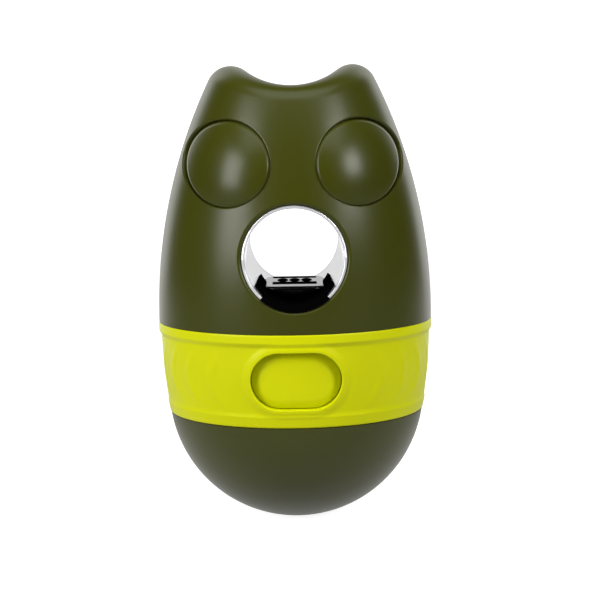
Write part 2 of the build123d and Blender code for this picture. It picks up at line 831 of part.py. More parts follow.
# Steel weight that fills the bottom of the bowl round the posts
with BuildPart() as ballast:
    with BuildSketch(Plane.XZ):
        with BuildLine():
            slug_inset = bowl_wall + ballast_fit
            ball_arc(ballast_foot_z, ballast_top_z, slug_inset)
            Polyline(
                (ball(ballast_top_z, slug_inset), ballast_top_z),
                (0, ballast_top_z),
                (0, ballast_foot_z),
            )
        make_face()
    revolve(axis=Axis.Z)
    with BuildSketch(Plane.XY):
        with PolarLocations(post_ring_radius, post_count, 90):
            Circle(post_radius + post_fit)
    extrude(amount=beyond, mode=Mode.SUBTRACT)
ballast.part.label = "ballast"

# Dished cover over the weight, the floor that the treats lie on
cover_foot_z = ballast_top_z
with BuildPart() as ballast_cover:
    cover_inset = bowl_wall + ballast_fit
    cover_top_z = cover_foot_z + cover_thick
    with BuildSketch(Plane.XZ):
        with BuildLine():
            Polyline(
                (ball(cover_top_z, cover_inset), cover_top_z),
                (ball(cover_foot_z, cover_inset), cover_foot_z),
                (0, cover_foot_z),
                (0, cover_top_z - cover_dish),
            )
            ThreePointArc(
                (0, cover_top_z - cover_dish),
                (ball(cover_top_z, cover_inset) / 2, cover_top_z - cover_dish * 3 / 4),
                (ball(cover_top_z, cover_inset), cover_top_z),
            )
        make_face()
    revolve(axis=Axis.Z)
    with Locations(Plane.XY.offset(cover_top_z - cover_dish * 3 / 4)):
        with PolarLocations(post_ring_radius, post_count, 90):
            CounterSinkHole(screw_radius + screw_fit, screw_head_radius, cover_thick)
ballast_cover.part.label = "ballast_cover"

# Neck ring set in the bowl's rim: flange, wall with a seal groove, notch and pad for the catch
with BuildPart() as neck_ring:
    rim_inside = ball(neck_flange_z, bowl_wall) + neck_ledge - neck_fit
    groove_radius = neck_radius - seal_groove
    neck_inside = neck_radius - neck_wall
    with BuildSketch(Plane.XZ):
        with BuildLine():
            Polyline(
                (neck_inside, neck_flange_z),
                (rim_inside, neck_flange_z),
                (rim_inside, shoulder_z),
                (neck_radius, shoulder_z),
                (neck_radius, seal_z),
                (groove_radius, seal_z),
                (groove_radius, seal_z + seal_height),
                (neck_radius, seal_z + seal_height),
                (neck_radius, neck_top_z),
                (neck_inside, neck_top_z),
                close=True,
            )
        make_face()
    revolve(axis=Axis.Z)
    with BuildSketch(Plane.XY.offset(neck_flange_z)):
        with Locations((0, tongue_face_y)):
            Rectangle(
                tongue_width + neck_wall,
                neck_wall / 2,
                align=(Align.CENTER, Align.MAX),
            )
    extrude(amount=neck_notch_z - neck_flange_z)
    with BuildSketch(Plane.XY.offset(neck_notch_z)):
        with Locations((0, -neck_inside)):
            Rectangle(neck_notch_width, 2 * cut_overrun)
    extrude(amount=beyond, mode=Mode.SUBTRACT)
    with BuildSketch(front_plane(tongue_face_y, tongue_screw_z)):
        with GridLocations(tongue_screw_pitch, 0, 2, 1):
            Circle(small_screw_radius + screw_fit / 2)
    extrude(amount=neck_wall, mode=Mode.SUBTRACT)
neck_ring.part.label = "neck_ring"

# Soft seal in the neck's groove
with BuildPart() as neck_seal:
    seal_radius = collar(seal_z, collar_wall) - seal_gap
    with BuildSketch(Plane.XZ):
        with BuildLine():
            Polyline(
                (groove_radius, seal_z + neck_fit / 2),
                (seal_radius - seal_lip, seal_z + neck_fit / 2),
                (seal_radius, seal_z + seal_lip),
                (seal_radius, seal_z + seal_height - seal_lip),
                (seal_radius - seal_lip, seal_z + seal_height - neck_fit / 2),
                (groove_radius, seal_z + seal_height - neck_fit / 2),
                close=True,
            )
        make_face()
    revolve(axis=Axis.Z)
neck_seal.part.label = "neck_seal"

# Springy catch tongue on the neck, hooked over the funnel's bar
with BuildPart() as catch_tongue:
    with BuildSketch(front_plane(tongue_face_y + tongue_thick, tongue_foot_z)):
        Rectangle(tongue_width, tongue_top_z - tongue_foot_z, align=(Align.CENTER, Align.MIN))
    extrude(amount=tongue_thick)
    fillet(catch_tongue.edges().filter_by(Axis.Y), window_corner)
    hook_z = flange_top_z + hook_gap
    with BuildSketch(Plane.YZ.offset(-tongue_width / 2)):
        Polygon(
            (tongue_face_y, hook_z),
            (tongue_face_y - hook_reach, hook_z),
            (tongue_face_y, hook_z + hook_height),
            align=None,
        )
    extrude(amount=tongue_width)
    with BuildSketch(front_plane(tongue_face_y + 2 * tongue_thick, tongue_screw_z)):
        with GridLocations(tongue_screw_pitch, 0, 2, 1):
            Circle(small_screw_radius + screw_fit / 2)
    extrude(amount=beyond, mode=Mode.SUBTRACT)
catch_tongue.part.label = "catch_tongue"


def pan_screw(plane, radius, head_radius, head_height, length):
    """Screw whose head stands on the plane and whose shank runs back from it, with a cross recess."""
    with BuildPart() as screw:
        with BuildSketch(plane):
            Circle(head_radius)
        extrude(amount=head_height)
        with BuildSketch(plane):
            Circle(radius)
        extrude(amount=-length)
        with BuildSketch(plane.offset(head_height)):
            Rectangle(2 * head_radius - head_height, driver_slot)
            Rectangle(driver_slot, 2 * head_radius - head_height)
        extrude(amount=-head_height / 2, mode=Mode.SUBTRACT)
    return screw.part


def sunk_screw(plane, radius, head_radius, length):
    """Countersunk screw whose head's top is flush with the plane, with a cross recess."""
    with BuildPart() as screw:
        sink = head_radius - radius
        with BuildSketch(plane):
            Circle(head_radius)
        with BuildSketch(plane.offset(-sink)):
            Circle(radius)
        loft()
        with BuildSketch(plane):
            Circle(radius)
        extrude(amount=-length)
        with BuildSketch(plane):
            Rectangle(1.4 * head_radius, driver_slot)
            Rectangle(driver_slot, 1.4 * head_radius)
        extrude(amount=-sink / 2, mode=Mode.SUBTRACT)
    return screw.part


def joined(pieces):
    """Identical loose pieces as one node with a separate solid for each."""
    with BuildPart() as group:
        add(pieces)
    return group.part


# Screws from below that hold the funnel to the head's bosses
funnel_screws = []
for angle in boss_angles:
    spot = Vector(boss_ring_radius, 0, funnel_flange_z).rotate(Axis.Z, angle)
    funnel_screws.append(
        sunk_screw(Plane(spot, z_dir=(0, 0, -1)), screw_radius, screw_head_radius, screw_length)
    )

# Screws from below that hold the block's rails to the chimney's flange
block_screws = []
for x in (-rail_x, rail_x):
    for y in (-1, 1):
        spot = Vector(x, y * (seat_length / 2 - small_screw_head_radius), cone_top_z)
        block_screws.append(
            pan_screw(
                Plane(spot, z_dir=(0, 0, -1)),
                small_screw_radius,
                small_screw_head_radius,
                small_screw_head_height,
                small_screw_length,
            )
        )

# Screws that hold the weight and its cover on the bowl's posts
ballast_screws = []
for index in range(post_count):
    angle = 90 + index * 360 / post_count
    spot = Vector(post_ring_radius, 0, cover_top_z - cover_dish * 3 / 4).rotate(Axis.Z, angle)
    ballast_screws.append(sunk_screw(Plane(spot), screw_radius, screw_head_radius, screw_length))

# Screws that hold the catch tongue on the neck's pad
tongue_screws = []
for x in (-tongue_screw_pitch / 2, tongue_screw_pitch / 2):
    spot = Vector(x, tongue_face_y + tongue_thick, tongue_screw_z)
    tongue_screws.append(
        pan_screw(
            Plane(spot, x_dir=(1, 0, 0), z_dir=(0, 1, 0)),
            small_screw_radius,
            small_screw_head_radius,
            small_screw_head_height,
            neck_wall,
        )
    )

os.makedirs("parts", exist_ok=True)
finished = {
    "head_shell": head_shell.part,
    "eye_left": eye.part.mirror(Plane.YZ),
    "eye_right": eye.part,
    "eye_clips": joined(with_mirror(clip.part)),
    "bore_liner": bore_liner.part,
    "outlet_block": outlet_block.part,
    "floor_tray": floor_tray.part,
    "block_screws": joined(block_screws),
    "outlet_gate": outlet_gate.part,
    "gate_grip": gate_grip.part,
    "treat_funnel": treat_funnel.part,
    "funnel_screws": joined(funnel_screws),
    "grip_band": grip_band.part,
    "button_frame": button_frame.part,
    "release_button": release_button.part,
    "bowl_shell": bowl_shell.part,
    "ballast": ballast.part,
    "ballast_cover": ballast_cover.part,
    "ballast_screws": joined(ballast_screws),
    "neck_ring": neck_ring.part,
    "neck_seal": neck_seal.part,
    "catch_tongue": catch_tongue.part,
    "tongue_screws": joined(tongue_screws),
}
for name, piece in finished.items():
    piece.label = name
    export_step(piece, f"parts/{name}.step")
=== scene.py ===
"""Looks of an egg-shaped dog treat dispenser, built around its packed model."""

import math

import bmesh
import bpy
import numpy as np
from mathutils import Matrix, Vector


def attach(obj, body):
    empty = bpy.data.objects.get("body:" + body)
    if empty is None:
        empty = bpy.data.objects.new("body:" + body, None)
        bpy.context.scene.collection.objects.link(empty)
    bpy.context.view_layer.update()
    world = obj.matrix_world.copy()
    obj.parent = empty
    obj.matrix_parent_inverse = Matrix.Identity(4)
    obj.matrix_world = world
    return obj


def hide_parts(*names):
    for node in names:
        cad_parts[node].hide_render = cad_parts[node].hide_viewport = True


bl_info = {
    "name": "Dog Treat Dispenser",
    "version": (1, 0, 0),
    "blender": (4, 5, 0),
    "location": "3D View > Sidebar > Dispenser",
    "description": "Egg with ears, domed eyes, a lined hole and a soft band with an oval button",
    "category": "Object",
}

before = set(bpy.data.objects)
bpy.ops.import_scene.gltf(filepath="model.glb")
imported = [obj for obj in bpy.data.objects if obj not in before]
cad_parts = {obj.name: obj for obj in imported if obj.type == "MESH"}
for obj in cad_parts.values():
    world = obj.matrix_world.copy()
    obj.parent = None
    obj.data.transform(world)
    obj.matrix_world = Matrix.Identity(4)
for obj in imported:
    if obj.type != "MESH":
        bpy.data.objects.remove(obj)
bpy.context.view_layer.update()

MM = 0.001
WELD = 0.002 * MM  # points of a sheet closer than this become one
SHARP = math.radians(40)  # edges that turn by more than this are shaded sharp


class Wire:
    """One output socket of a node tree, so that shader maths reads as Python expressions."""

    def __init__(self, nodes, socket):
        self.nodes = nodes
        self.socket = socket

    def _math(self, operation, *inputs):
        return self.nodes.value("ShaderNodeMath", {"operation": operation}, *inputs)

    def __add__(self, other):
        return self._math("ADD", self, other)

    __radd__ = __add__

    def __sub__(self, other):
        return self._math("SUBTRACT", self, other)

    def __rsub__(self, other):
        return self._math("SUBTRACT", other, self)

    def __mul__(self, other):
        return self._math("MULTIPLY", self, other)

    def above(self, limit, soft):
        """0 below limit, 1 above limit + soft, in the unit that the wire holds."""
        return ((self - limit) * (1.0 / soft)).clamped()

    def within(self, low, high, soft):
        """1 between low and high, 0 outside, with soft edges."""
        return self.above(low, soft) * ((high - self) * (1.0 / soft)).clamped()

    def clamped(self):
        """The value held between 0 and 1."""
        return self._math("MINIMUM", self._math("MAXIMUM", self, 0.0), 1.0)


class Nodes:
    """A node tree: one method adds any node, one reads its output as a Wire."""

    def __init__(self, tree):
        self.tree = tree
        tree.nodes.clear()

    def node(self, kind, settings=None, inputs=()):
        """Node of a kind with settings and a value or wire for each socket, by name or in order."""
        made = self.tree.nodes.new(kind)
        for key, setting in (settings or {}).items():
            setattr(made, key, setting)
        pairs = inputs.items() if isinstance(inputs, dict) else enumerate(inputs)
        for key, given in pairs:
            if isinstance(given, Wire):
                self.tree.links.new(given.socket, made.inputs[key])
            else:
                made.inputs[key].default_value = given
        return made

    def value(self, kind, settings, *inputs, output=0):
        """Output of a new node; inputs are one dict by name or a value for each socket in order."""
        given = inputs[0] if len(inputs) == 1 and isinstance(inputs[0], dict) else inputs
        return Wire(self, self.node(kind, settings, given).outputs[output])

    def ray(self, kind):
        """1 for rays of a kind such as Camera or Glossy, 0 for all others."""
        return Wire(self, self.node("ShaderNodeLightPath").outputs[f"Is {kind} Ray"])


class Finish(Nodes):
    """A node material in terms of places, masks, colours and bumps."""

    def __init__(self, name):
        self.material = bpy.data.materials.new(name)
        self.material.use_nodes = True
        super().__init__(self.material.node_tree)

    def place(self):
        """Object coordinates, in metres from the middle of the foot."""
        return Wire(self, self.node("ShaderNodeTexCoord").outputs["Object"])

    def axes(self):
        """Object coordinates as three wires."""
        parts = self.node("ShaderNodeSeparateXYZ", {}, [self.place()])
        return [Wire(self, parts.outputs[index]) for index in range(3)]

    def length(self, x, y):
        """Distance of (x, y) from zero."""
        pair = self.value("ShaderNodeCombineXYZ", {}, x, y)
        return self.value("ShaderNodeVectorMath", {"operation": "LENGTH"}, pair, output=1)

    def noise(self, size, detail=2.0, roughness=0.5, stretch=(1.0, 1.0, 1.0)):
        """Noise from 0 to 1 whose blobs are about size metres across, squeezed by stretch."""
        spread = self.value("ShaderNodeMapping", {}, self.place(), (0, 0, 0), (0, 0, 0), stretch)
        made = self.node(
            "ShaderNodeTexNoise",
            {"noise_dimensions": "3D"},
            {"Vector": spread, "Scale": 1.0 / size, "Detail": detail, "Roughness": roughness},
        )
        return Wire(self, made.outputs["Fac"])

    def colours(self, mask, low, high):
        """Colour that goes from low to high with mask; each end is a wire or three numbers."""
        low, high = (end if isinstance(end, Wire) else (*end, 1.0) for end in (low, high))
        settings = {"data_type": "RGBA"}
        return self.value("ShaderNodeMix", settings, {0: mask, 6: low, 7: high}, output=2)

    def bump(self, height, distance, under=None):
        """Normal from a height of 0 to 1 that stands for distance metres, on the bump under it."""
        inputs = {"Strength": 1.0, "Distance": distance, "Height": height}
        if under is not None:
            inputs["Normal"] = under
        return self.value("ShaderNodeBump", {}, inputs)

    def shader(self, **inputs):
        """Principled shader; names use _ for a space."""
        named = {key.replace("_", " "): given for key, given in inputs.items()}
        return self.value("ShaderNodeBsdfPrincipled", {}, named)

    def ended(self, shader):
        """The material, with shader as its surface."""
        self.node("ShaderNodeOutputMaterial", {}, [shader])
        return self.material

    def surface(self, **inputs):
        """The material with one principled surface."""
        return self.ended(self.shader(**inputs))


def linear(colour):
    """Linear colour from display values of 0 to 255."""
    share = np.asarray(colour, float) / 255
    return tuple(np.where(share <= 0.04045, share / 12.92, ((share + 0.055) / 1.055) ** 2.4))


def moulded(name, colour, spread, roughness, grain, waves):
    """Moulded plastic, as a finish and its inputs.

    The colour drifts by a share, spread. The skin has mould grain and waves of a height in metres,
    and the roughness varies with drift and grain."""
    finish = Finish(name)
    low = tuple(channel * (1 - spread) for channel in colour)
    high = tuple(channel * (1 + spread) for channel in colour)
    drift = finish.noise(22 * MM, detail=3.0)
    fine = finish.noise(0.35 * MM, detail=3.0, roughness=0.7)
    wave = finish.noise(9 * MM, detail=1.0)
    skin = finish.bump(wave, waves)
    skin = finish.bump(fine, grain, under=skin)
    return finish, {
        "Base_Color": finish.colours(drift, low, high),
        "Roughness": (drift - 0.5) * 0.05 + (fine - 0.5) * 0.06 + roughness,
        "Normal": skin,
    }


def welded(name, sheets):
    """Object from sheets of (points, quads), joined where they meet, smooth, with faces outward."""
    points = np.concatenate([sheet[0] for sheet in sheets])
    starts = np.cumsum([0] + [len(sheet[0]) for sheet in sheets[:-1]])
    quads = np.concatenate([sheet[1] + start for sheet, start in zip(sheets, starts)])
    mesh = bpy.data.meshes.new(name)
    mesh.from_pydata(points.tolist(), [], quads.tolist())
    body = bmesh.new()
    body.from_mesh(mesh)
    bmesh.ops.remove_doubles(body, verts=body.verts, dist=WELD)
    bmesh.ops.recalc_face_normals(body, faces=body.faces)
    body.to_mesh(mesh)
    body.free()
    mesh.shade_smooth()
    mesh.set_sharp_from_angle(angle=SHARP)
    piece = bpy.data.objects.new(name, mesh)
    bpy.context.scene.collection.objects.link(piece)
    return piece


def grid(points, around):
    """Sheet of quads over points (rows, columns, 3); around joins the last column to the first."""
    rows, columns = points.shape[:2]
    index = np.arange(rows * columns).reshape(rows, columns)
    right = np.roll(index, -1, axis=1) if around else index[:, 1:]
    left = index if around else index[:, :-1]
    quads = np.stack([left[:-1], right[:-1], right[1:], left[1:]], axis=-1)
    return points.reshape(-1, 3), quads.reshape(-1, 4)


def bar(outline, near, far):
    """Sheets of a closed bar: an outline (x, z) carried along y from near to far, with fan ends."""
    x, z = np.asarray(outline).T
    depth = np.array([near, far])[:, None]
    side = np.stack(np.broadcast_arrays(x, depth, z), axis=-1)
    middle = np.broadcast_to(side.mean(axis=1, keepdims=True), side.shape)
    ends = [grid(np.stack([edge, centre]), True) for edge, centre in zip(side, middle)]
    return [grid(side, True), *ends]


def oval(share, half_width, half_height):
    """Points (x, z) at shares 0 to 1 round a stadium, from its bottom's middle to the right.

    The run along it is split into lengths on the straights, which move the level, and on the arcs,
    which turn the direction."""
    half_height = np.maximum(half_height, 1e-9)  # a stadium that shrinks to a line still divides
    straight = half_width - half_height
    arc = math.pi * half_height
    run = (share % 1.0) * (4 * straight + 2 * arc)
    arcs = np.clip(run - straight, 0, arc) + np.clip(run - 3 * straight - arc, 0, arc)
    turn = arcs / half_height
    level = np.clip(run, 0, straight) - np.clip(run - straight - arc, 0, 2 * straight)
    level = level + np.clip(run - 3 * straight - 2 * arc, 0, straight)
    return level + half_height * np.sin(turn), -half_height * np.cos(turn)


def rounding(share):
    """Drop of a quarter circle of radius 1: 1 at share 0, falling to 0 at share 1 and beyond."""
    return 1 - np.sqrt(1 - (1 - np.clip(share, 0, 1)) ** 2)


def ease(share):
    """Smooth rise from 0 to 1 as share goes from 0 to 1."""
    share = np.clip(share, 0, 1)
    return share * share * (3 - 2 * share)


def wrapped(radius, angle, height):
    """Points at an angle from the front, to the right, round the upright axis."""
    radius, angle, height = np.broadcast_arrays(radius, angle, height)
    return np.stack([radius * np.sin(angle), -radius * np.cos(angle), height], axis=-1)


def give(material, *names):
    """Puts a material on CAD nodes or pieces by name."""
    for name in names:
        mesh = bpy.data.objects[name].data
        mesh.materials.clear()
        mesh.materials.append(material)


class ShellLook(bpy.types.PropertyGroup):
    """Hard olive plastic of the head, the bowl and the eyes, and the egg's flank."""

    colour: bpy.props.FloatVectorProperty(
        name="Colour", description="Olive of the moulded plastic", subtype="COLOR",
        size=3, min=0, max=1, default=linear((56, 59, 3)),
    )
    roughness: bpy.props.FloatProperty(
        name="Roughness", description="Satin of the plastic", subtype="FACTOR",
        min=0, max=1, default=0.31,
    )
    flank_centre: bpy.props.FloatProperty(
        name="Flank centre", description="Centre of the flank's arc, beyond the axis",
        default=110.95 * MM, unit="LENGTH",
    )
    flank_start: bpy.props.FloatProperty(
        name="Flank start", description="Height of the flank's arc centre",
        default=58.7 * MM, unit="LENGTH",
    )
    flank_radius: bpy.props.FloatProperty(
        name="Flank radius", description="Radius of the flank's arc",
        default=150.0 * MM, unit="LENGTH",
    )
    eye_side: bpy.props.FloatProperty(
        name="Eye side", description="An eye's middle from the middle plane",
        default=17.8 * MM, unit="LENGTH",
    )
    eye_height: bpy.props.FloatProperty(
        name="Eye height", description="Height of an eye's middle",
        default=102.0 * MM, unit="LENGTH",
    )
    eye_radius: bpy.props.FloatProperty(
        name="Eye radius", description="Radius of an eye seen from the front",
        default=11.6 * MM, unit="LENGTH",
    )
    eye_edge: bpy.props.FloatProperty(
        name="Eye edge", description="Rounding of an eye's rim",
        default=0.9 * MM, unit="LENGTH",
    )
    eye_falls: bpy.props.FloatVectorProperty(
        name="Eye falls",
        description="Fall of an eye's face from its middle to its side and to its top",
        size=2, default=(1.45 * MM, 2.1 * MM), unit="LENGTH",
    )
    eye_proud: bpy.props.FloatProperty(
        name="Eye proud", description="Height of an eye's middle over the egg",
        default=2.2 * MM, unit="LENGTH",
    )
    eye_depth: bpy.props.FloatProperty(
        name="Eye depth", description="Depth of an eye's back under the egg",
        default=1.25 * MM, unit="LENGTH",
    )


class BandLook(bpy.types.PropertyGroup):
    """Soft lime silicone band with its oval ring and button."""

    foot: bpy.props.FloatProperty(
        name="Foot", description="Height of the band's foot", default=31.0 * MM, unit="LENGTH",
    )
    top: bpy.props.FloatProperty(
        name="Top", description="Height of the band's top", default=56.65 * MM, unit="LENGTH",
    )
    field: bpy.props.FloatVectorProperty(
        name="Field", description="Radius of the bowed field at its foot, middle and top",
        size=3, default=(36.75 * MM, 37.95 * MM, 38.45 * MM), unit="LENGTH",
    )
    rims: bpy.props.FloatVectorProperty(
        name="Rims", description="Radius of the foot rim, its lower edge and the top rim",
        size=3, default=(37.0 * MM, 36.4 * MM, 39.15 * MM), unit="LENGTH",
    )
    rim_heights: bpy.props.FloatVectorProperty(
        name="Rim heights", description="Height of the foot rim and of the top rim",
        size=2, default=(2.9 * MM, 2.2 * MM), unit="LENGTH",
    )
    rim_blend: bpy.props.FloatProperty(
        name="Rim blend", description="Height over which a rim falls to the field",
        default=1.5 * MM, unit="LENGTH",
    )
    inside: bpy.props.FloatVectorProperty(
        name="Inside", description="Radius of the cone inside the band at its foot and its top",
        size=2, default=(35.05 * MM, 37.05 * MM), unit="LENGTH",
    )
    ripple_angles: bpy.props.FloatVectorProperty(
        name="Ripples", description="Angles of the ripples from the front",
        size=4, default=tuple(math.radians(angle) for angle in (38.0, 51.5, 65.0, 78.5)),
        unit="ROTATION",
    )
    ripple_proud: bpy.props.FloatProperty(
        name="Ripple height", description="Height of a ripple over the field",
        default=0.28 * MM, unit="LENGTH",
    )
    ripple_width: bpy.props.FloatProperty(
        name="Ripple width", description="Half of a ripple's width round the band",
        default=2.4 * MM, unit="LENGTH",
    )
    ripple_reach: bpy.props.FloatProperty(
        name="Ripple reach", description="Half of a ripple's length up the band",
        default=8.6 * MM, unit="LENGTH",
    )
    ripple_bow: bpy.props.FloatProperty(
        name="Ripple bow", description="How far a ripple's ends lie behind its middle",
        default=5.0 * MM, unit="LENGTH",
    )
    button_height: bpy.props.FloatProperty(
        name="Button height", description="Height of the button's middle",
        default=43.9 * MM, unit="LENGTH",
    )
    opening: bpy.props.FloatVectorProperty(
        name="Opening", description="Half width and half height of the oval inside the ring",
        size=2, default=(12.35 * MM, 7.8 * MM), unit="LENGTH",
    )
    ring: bpy.props.FloatProperty(
        name="Ring", description="Width of the raised ring",
        default=1.5 * MM, unit="LENGTH",
    )
    ring_proud: bpy.props.FloatProperty(
        name="Ring height", description="Height of the ring over the field",
        default=0.45 * MM, unit="LENGTH",
    )
    ring_skirt: bpy.props.FloatProperty(
        name="Ring skirt", description="Reach of the ring's swell over the field round it",
        default=1.4 * MM, unit="LENGTH",
    )
    recess: bpy.props.FloatProperty(
        name="Recess", description="Depth of the button's face under the field",
        default=1.6 * MM, unit="LENGTH",
    )
    button_depths: bpy.props.FloatVectorProperty(
        name="Button depths",
        description="Depths of the button's back, its ears, its feet and its peg's tip",
        size=4, default=(-33.4 * MM, -30.9 * MM, -29.9 * MM, -30.3 * MM), unit="LENGTH",
    )
    leg: bpy.props.FloatVectorProperty(
        name="Button leg",
        description="A leg's middle from the centre, its half width and its half height",
        size=3, default=(9.9 * MM, 1.2 * MM, 2.9 * MM), unit="LENGTH",
    )
    ear: bpy.props.FloatVectorProperty(
        name="Button ear",
        description="An ear's middle from the centre, its half width and its half height",
        size=3, default=(10.9 * MM, 2.25 * MM, 3.0 * MM), unit="LENGTH",
    )
    peg: bpy.props.FloatVectorProperty(
        name="Button peg", description="Radius of the peg and its height over the button's middle",
        size=2, default=(1.6 * MM, 0.8 * MM), unit="LENGTH",
    )
    colour: bpy.props.FloatVectorProperty(
        name="Colour", description="Lime of the silicone", subtype="COLOR",
        size=3, min=0, max=1, default=linear((203, 207, 1)),
    )
    roughness: bpy.props.FloatProperty(
        name="Roughness", description="Satin of the silicone", subtype="FACTOR",
        min=0, max=1, default=0.35,
    )


class HoleLook(bpy.types.PropertyGroup):
    """Bright liner and black outlet block in the hole."""

    liner: bpy.props.FloatVectorProperty(
        name="Liner", description="Metallised liner", subtype="COLOR",
        size=3, min=0, max=1, default=(0.86, 0.86, 0.88),
    )
    block: bpy.props.FloatVectorProperty(
        name="Block", description="Gloss black of the outlet block", subtype="COLOR",
        size=3, min=0, max=1, default=(0.0015, 0.0015, 0.0015),
    )
    hole_height: bpy.props.FloatProperty(
        name="Hole height", description="Height of the hole's axis",
        default=76.9 * MM, unit="LENGTH",
    )
    # painted highlight: the lip is made less metallic so that it renders whiter
    painted_highlight_lip: bpy.props.FloatProperty(
        name="Bright lip", description="Width of the white lip at each end of the lining",
        default=1.0 * MM, unit="LENGTH",
    )
    dark_line: bpy.props.FloatVectorProperty(
        name="Dark line", description="Start and end of the dark line behind the lip",
        size=2, default=(1.3 * MM, 3.6 * MM), unit="LENGTH",
    )
    # The matte areas round the windows and along the dimples are painted shade.
    windows: bpy.props.FloatVectorProperty(
        name="Windows", description="Front and back of the matte area round each window",
        size=4, default=(-10.8 * MM, -3.2 * MM, 6.6 * MM, 12.6 * MM), unit="LENGTH",
    )
    window_reach: bpy.props.FloatProperty(
        name="Window reach", description="Half width of the matte area round a window",
        default=6.4 * MM, unit="LENGTH",
    )
    dimples: bpy.props.FloatVectorProperty(
        name="Dimples",
        description="Spacing and depth of the three dimples, and half width of their matte",
        size=3, default=(3.4 * MM, 1.2 * MM, 1.45 * MM), unit="LENGTH",
    )
    tray_radius: bpy.props.FloatProperty(
        name="Tray radius", description="Outside radius of the tray",
        default=13.35 * MM, unit="LENGTH",
    )
    lip_radius: bpy.props.FloatProperty(
        name="Lip radius", description="Outside radius of the lining's lip",
        default=14.15 * MM, unit="LENGTH",
    )
    tray_turns: bpy.props.FloatVectorProperty(
        name="Tray sides", description="Half angle of the tray at its side front and side back",
        size=2, default=(math.radians(54.0), math.radians(49.3)), unit="ROTATION",
    )
    # The tray and its flange are painted reflection of the block on the hole's floor and lip.
    tray_flange: bpy.props.FloatProperty(
        name="Tray flange", description="Thickness of the flange over the lip",
        default=0.2 * MM, unit="LENGTH",
    )
    tray_thick: bpy.props.FloatProperty(
        name="Tray thickness", description="Thickness of the tray",
        default=0.5 * MM, unit="LENGTH",
    )
    tray_waist: bpy.props.FloatProperty(
        name="Tray waist", description="Half width of the tray beside the block",
        default=8.8 * MM, unit="LENGTH",
    )
    tray_depths: bpy.props.FloatVectorProperty(
        name="Tray depths",
        description="Depths of the nose, side front, block front, tail and side back",
        size=5, default=(-38.7 * MM, -30.0 * MM, -17.2 * MM, 3.0 * MM, 11.0 * MM), unit="LENGTH",
    )


class InnerLook(bpy.types.PropertyGroup):
    """Grey plastic, rubber and steel inside."""

    grey: bpy.props.FloatVectorProperty(
        name="Grey", description="Matte grey of the inner mouldings", subtype="COLOR",
        size=3, min=0, max=1, default=(0.16, 0.17, 0.16),
    )
    steel: bpy.props.FloatVectorProperty(
        name="Steel", description="Zinc plated steel", subtype="COLOR",
        size=3, min=0, max=1, default=(0.56, 0.56, 0.57),
    )


class StageLook(bpy.types.PropertyGroup):
    """Camera, lamps and the glow of the world."""

    distance: bpy.props.FloatProperty(
        name="Distance", description="Camera to the point that it aims at",
        default=520.8 * MM, unit="LENGTH",
    )
    aim_height: bpy.props.FloatProperty(
        name="Aim height", description="Height on the egg's axis that the camera aims at",
        default=64.7 * MM, unit="LENGTH",
    )
    elevation: bpy.props.FloatProperty(
        name="Elevation", description="Camera above the horizon",
        default=math.radians(6.1), unit="ROTATION",
    )
    roll: bpy.props.FloatProperty(
        name="Roll", description="Turn about the line of sight",
        default=math.radians(-0.93), unit="ROTATION",
    )
    lens: bpy.props.FloatProperty(
        name="Lens", description="Focal length in mm on a 36 mm sensor", default=108.62,
    )
    shift: bpy.props.FloatVectorProperty(
        name="Shift", description="Shift of the picture, to the right and up, in picture widths",
        size=2, default=(5.2 / 600, -10 / 600),
    )
    lamps: bpy.props.FloatVectorProperty(
        name="Lamps", description="Power of the left, the right and the top lamp",
        size=3, default=(9.36, 8.28, 4.5), unit="POWER",
    )
    world_glow: bpy.props.FloatProperty(
        name="World glow", description="Strength of the world for all but the camera",
        min=0, default=0.04,
    )


SETTINGS = {
    "dispenser_shell": ShellLook,
    "dispenser_band": BandLook,
    "dispenser_hole": HoleLook,
    "dispenser_inner": InnerLook,
    "dispenser_stage": StageLook,
}


